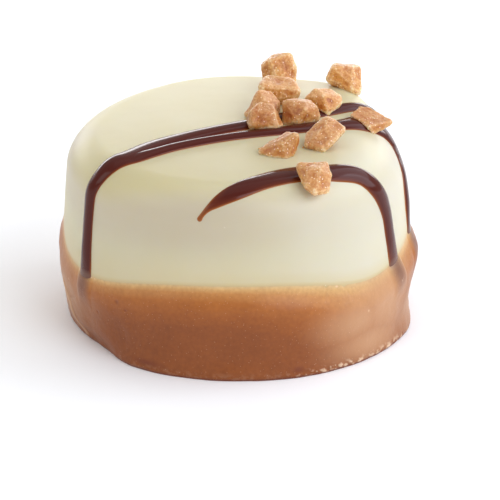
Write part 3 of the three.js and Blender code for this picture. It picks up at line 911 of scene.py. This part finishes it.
def srgb(color):
    """A colour as it looks on a screen, from 0 to 255, as the linear colour that a shader takes."""
    shares = np.array(color) / 255
    linear = np.where(shares < 0.04045, shares / 12.92, ((shares + 0.055) / 1.055) ** 2.4)
    return (*linear.tolist(), 1.0)


def add(tree, kind, inputs=None, **settings):
    """A new node. An input is given a value, or is joined to the output that is given."""
    node = tree.nodes.new(kind)
    for key, value in settings.items():
        setattr(node, key, value)
    for key, value in (inputs or {}).items():
        if isinstance(value, bpy.types.NodeSocket):
            tree.links.new(value, node.inputs[key])
        else:
            node.inputs[key].default_value = value
    return node


def blend_colors(tree, share, first, second, kind="MIX"):
    """The second colour over the first by a share. A colour is an output, or as on a screen."""
    first, second = (
        color if isinstance(color, bpy.types.NodeSocket) else srgb(color)
        for color in (first, second)
    )
    node = add(tree, "ShaderNodeMix", {0: share, 6: first, 7: second}, data_type="RGBA")
    node.blend_type = kind
    return node.outputs[2]


def calculate(tree, operation, first, second=0.0):
    return add(tree, "ShaderNodeMath", {0: first, 1: second}, operation=operation).outputs[0]


def tinted(tree, color, share, strength, tint):
    """A colour with a tint over it, by a share times a strength."""
    return blend_colors(tree, calculate(tree, "MULTIPLY", share, strength), color, tint)


def multiplied(tree, color, share, first, second):
    """A colour times one that a share picks between two others."""
    between = blend_colors(tree, share, first, second)
    return blend_colors(tree, 1.0, color, between, "MULTIPLY")


def rescale(tree, value, low, high, start=0.0, end=1.0):
    """A value from low to high, turned into one from start to end and kept between them."""
    inputs = {"Value": value, 1: low, 2: high, 3: start, 4: end}
    return add(tree, "ShaderNodeMapRange", inputs).outputs[0]


def ramp(tree, value, stops):
    """A colour for a value. Each stop is a value from 0 to 1 and a colour."""
    node = add(tree, "ShaderNodeValToRGB", {"Fac": value})
    elements = node.color_ramp.elements
    while len(elements) < len(stops):
        elements.new(0.5)
    for element, (position, color) in zip(elements, stops):
        element.position = position
        element.color = srgb(color)
    return node.outputs[0]


def place_on_piece(tree):
    return add(tree, "ShaderNodeTexCoord").outputs["Object"]


def clouds(tree, size, detail, roughness):
    """Uneven values around 0.5, about as wide as size in millimetres."""
    inputs = {
        "Vector": place_on_piece(tree),
        "Scale": 1 / (size * MM),
        "Detail": detail,
        "Roughness": roughness,
    }
    return add(tree, "ShaderNodeTexNoise", inputs).outputs["Fac"]


def specks(tree, spacing, radius, share):
    """1 in small round specks, about spacing apart, where only a share of them is kept."""
    inputs = {"Vector": place_on_piece(tree), "Scale": 1 / (spacing * MM)}
    cells = add(tree, "ShaderNodeTexVoronoi", inputs)
    rim = radius / spacing
    inside = rescale(tree, cells.outputs["Distance"], rim, SPECK_CORE * rim)
    kept = add(tree, "ShaderNodeSeparateColor", {0: cells.outputs["Color"]}).outputs[0]
    return calculate(tree, "MULTIPLY", inside, calculate(tree, "LESS_THAN", kept, share))


def specked(tree, color, pattern, tint):
    """A colour with specks of a tint on it."""
    *layout, strength = pattern
    return tinted(tree, color, specks(tree, *layout), strength, tint)


def mottled(tree, color, pattern, colors, span=CLOUD_SPAN):
    """A colour with clouds over it, that make it change a little."""
    return multiplied(tree, color, rescale(tree, clouds(tree, *pattern), *span), *colors)


def bump(tree, height, depth):
    """A normal for a height from 0 to 1, where 1 stands for a depth in millimetres."""
    inputs = {"Height": height, "Distance": depth * MM, "Strength": 1.0}
    return add(tree, "ShaderNodeBump", inputs).outputs[0]


def value_of(tree, name):
    return add(tree, "ShaderNodeAttribute", attribute_name=name).outputs["Fac"]


def new_material(name, surface):
    """A material with numbers or a colour set on its shader."""
    material = bpy.data.materials.new(name)
    material.use_nodes = True
    tree = material.node_tree
    shader = tree.nodes["Principled BSDF"]
    for key, value in surface.items():
        shader.inputs[key].default_value = value
    return material, tree, shader


def join_looks(tree, shader, color, grain, depth):
    """Joins a colour to the shader, and a normal for fine clouds of a depth in millimetres."""
    tree.links.new(color, shader.inputs["Base Color"])
    tree.links.new(bump(tree, clouds(tree, *grain), depth), shader.inputs["Normal"])


# Materials

def white_chocolate_material():
    material, tree, shader = new_material("white chocolate", COAT_SURFACE)
    above = value_of(tree, "above_band")
    wall = ramp(tree, rescale(tree, above, *COAT_WALL_SPAN), COAT_WALL_COLORS)
    color = blend_colors(tree, value_of(tree, "on_top"), wall, COAT_TOP_COLOR)
    # painted light on the lit right front of the wall
    painted_light = calculate(tree, "MULTIPLY", value_of(tree, "painted_light"), COAT_PAINTED_LIGHT_STRENGTH)
    painted_light = calculate(tree, "MULTIPLY", painted_light, rescale(tree, above, *COAT_PAINTED_LIGHT_SPAN))
    color = blend_colors(tree, painted_light, color, COAT_PAINTED_LIGHT_COLOR)
    # painted shade on the front wall below the shoulder
    color = tinted(tree, color, value_of(tree, "painted_shade"), COAT_PAINTED_SHADE_STRENGTH, COAT_PAINTED_SHADE_COLOR)
    color = mottled(tree, color, COAT_MOTTLING, COAT_MOTTLING_COLORS)
    color = specked(tree, color, COAT_SPECKS, COAT_SPECK_COLOR)
    join_looks(tree, shader, color, COAT_GRAIN, COAT_GRAIN_DEPTH)
    return material


def milk_chocolate_material():
    material, tree, shader = new_material("milk chocolate", FOOT_SURFACE)
    below = rescale(tree, value_of(tree, "below_band"), *FOOT_COLOR_SPAN)
    color = ramp(tree, below, FOOT_COLORS)
    for pattern, colors in FOOT_MOTTLING:
        color = mottled(tree, color, pattern, colors)
    for name, strength, tint in FOOT_MARKS:
        color = tinted(tree, color, value_of(tree, name), strength, tint)
    for pattern in FOOT_SPECKS:
        color = specked(tree, color, pattern, FOOT_SPECK_COLOR)
    # pale crumbs and nicks, with a painted highlight along the lip's edge and the fold
    chips_and_highlight = value_of(tree, "pale")
    color = tinted(tree, color, chips_and_highlight, FOOT_CHIPS_AND_HIGHLIGHT_STRENGTH, FOOT_CHIPS_AND_HIGHLIGHT_COLOR)
    join_looks(tree, shader, color, FOOT_GRAIN, FOOT_GRAIN_DEPTH)
    return material


def dark_chocolate_material():
    material, tree, shader = new_material("dark chocolate", STRAND_SURFACE)
    thickness = rescale(tree, value_of(tree, "thickness"), *STRAND_COLOR_SPAN)
    color = ramp(tree, thickness, STRAND_COLORS)
    above = value_of(tree, "above_band")
    covered = rescale(tree, above, *STRAND_COVERED_SPAN, end=STRAND_COVERED_STRENGTH)
    color = blend_colors(tree, covered, color, STRAND_COVERED_COLOR)
    join_looks(tree, shader, color, STRAND_GRAIN, STRAND_GRAIN_DEPTH)
    return material


def fudge_material():
    material, tree, shader = new_material("fudge", FUDGE_SURFACE)
    patches = rescale(tree, clouds(tree, *FUDGE_PATCHES), *CLOUD_SPAN, *FUDGE_PATCH_WEAR)
    # painted shade in the hollows, and pale edges, partly wear and partly a painted highlight
    wear_and_painted_light = calculate(tree, "ADD", value_of(tree, "wear_and_painted_light"), patches)
    color = ramp(tree, rescale(tree, wear_and_painted_light, *FUDGE_WEAR_AND_LIGHT_SPAN), FUDGE_COLORS)
    # paler upward faces: painted light from above, partly sugar dust
    color = tinted(tree, color, value_of(tree, "top"), FUDGE_TOP_DUST_AND_LIGHT_STRENGTH, FUDGE_TOP_DUST_AND_LIGHT_COLOR)
    color = mottled(tree, color, FUDGE_MOTTLING, FUDGE_MOTTLING_COLORS, FUDGE_MOTTLING_SPAN)
    # darker pieces, partly their own tone and partly painted shade
    color = multiplied(tree, color, value_of(tree, "deep"), *FUDGE_DEEP_COLORS)
    # painted shade in the dents between the bumps
    pits = rescale(tree, value_of(tree, "pit"), *FUDGE_PIT_SPAN)
    color = tinted(tree, color, pits, FUDGE_PIT_SHADE_STRENGTH, FUDGE_PIT_SHADE_COLOR)
    color = specked(tree, color, FUDGE_SUGAR, FUDGE_SUGAR_COLOR)
    join_looks(tree, shader, color, FUDGE_GRAIN, FUDGE_GRAIN_DEPTH)
    return material


# Scene around the praline

def make_floor():
    mesh = bpy.data.meshes.new("floor")
    sides = (-FLOOR_HALF, FLOOR_HALF)
    corners = [(x, y, 0) for x in sides for y in sides]
    mesh.from_pydata(corners, [], [(0, 2, 3, 1)])
    floor = bpy.data.objects.new("floor", mesh)
    bpy.context.scene.collection.objects.link(floor)
    material, _, _ = new_material("floor", FLOOR_SURFACE)
    mesh.materials.append(material)


def make_camera():
    data = bpy.data.cameras.new("camera")
    data.sensor_width = CAMERA_SENSOR
    data.lens = CAMERA_LENS
    data.shift_x, data.shift_y = CAMERA_SHIFT
    camera = bpy.data.objects.new("camera", data)
    elevation = math.radians(CAMERA_ELEVATION)
    camera.location = (
        0,
        -CAMERA_DISTANCE * math.cos(elevation) * MM,
        (CAMERA_TARGET_HEIGHT + CAMERA_DISTANCE * math.sin(elevation)) * MM,
    )
    camera.rotation_euler = (math.pi / 2 - elevation, 0, 0)
    bpy.context.scene.collection.objects.link(camera)
    bpy.context.scene.camera = camera


def make_softbox(name, azimuth, elevation, width, height, power, color):
    """An oblong light at an azimuth and elevation from the praline, that faces it."""
    data = bpy.data.lights.new(name, "AREA")
    data.shape = "RECTANGLE"
    data.size = width
    data.size_y = height
    data.energy = power
    data.color = color
    light = bpy.data.objects.new(name, data)
    around = math.radians(azimuth)
    up = math.radians(elevation)
    direction = Vector((
        math.cos(up) * math.cos(around),
        math.cos(up) * math.sin(around),
        math.sin(up),
    ))
    light.location = direction * SOFTBOX_DISTANCE
    light.rotation_euler = direction.to_track_quat("Z", "Y").to_euler()
    bpy.context.scene.collection.objects.link(light)


def make_lights():
    for softbox in SOFTBOXES:
        make_softbox(*softbox)
    world = bpy.data.worlds.new("studio")
    world.use_nodes = True
    background = world.node_tree.nodes["Background"]
    background.inputs["Color"].default_value = (*WHITE, 1)
    background.inputs["Strength"].default_value = WORLD_STRENGTH
    bpy.context.scene.world = world
    bpy.context.scene.view_settings.view_transform = "Standard"


def finish_piece(piece, material, slot, *nodes):
    piece.data.materials.append(material)
    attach(piece, "root")
    if nodes:
        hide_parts(*nodes)


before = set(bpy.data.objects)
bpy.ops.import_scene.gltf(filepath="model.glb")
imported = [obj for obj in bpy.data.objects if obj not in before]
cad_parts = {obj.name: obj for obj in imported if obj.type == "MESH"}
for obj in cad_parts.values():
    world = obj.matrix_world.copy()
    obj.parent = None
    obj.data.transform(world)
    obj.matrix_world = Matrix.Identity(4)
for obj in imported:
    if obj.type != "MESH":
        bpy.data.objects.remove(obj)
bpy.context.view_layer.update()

finish_piece(make_coat(), white_chocolate_material(), "white_chocolate", "white_chocolate_body")
finish_piece(make_foot(), milk_chocolate_material(), "milk_chocolate", "milk_chocolate_foot")
dark_chocolate = dark_chocolate_material()
for strand_name in STRANDS:
    finish_piece(make_strand(strand_name), dark_chocolate, "dark_chocolate")
fudge = fudge_material()
for node_name in sorted(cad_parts):
    if node_name.startswith("fudge_piece_"):
        fudge_piece = make_fudge(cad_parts[node_name], int(node_name[-2:]))
        finish_piece(fudge_piece, fudge, "fudge", node_name)

for number, (x, y, size) in enumerate(CRUMBS, 1):
    finish_piece(make_crumb(number, x, y, size), fudge, "fudge")

make_floor()
make_camera()
make_lights()
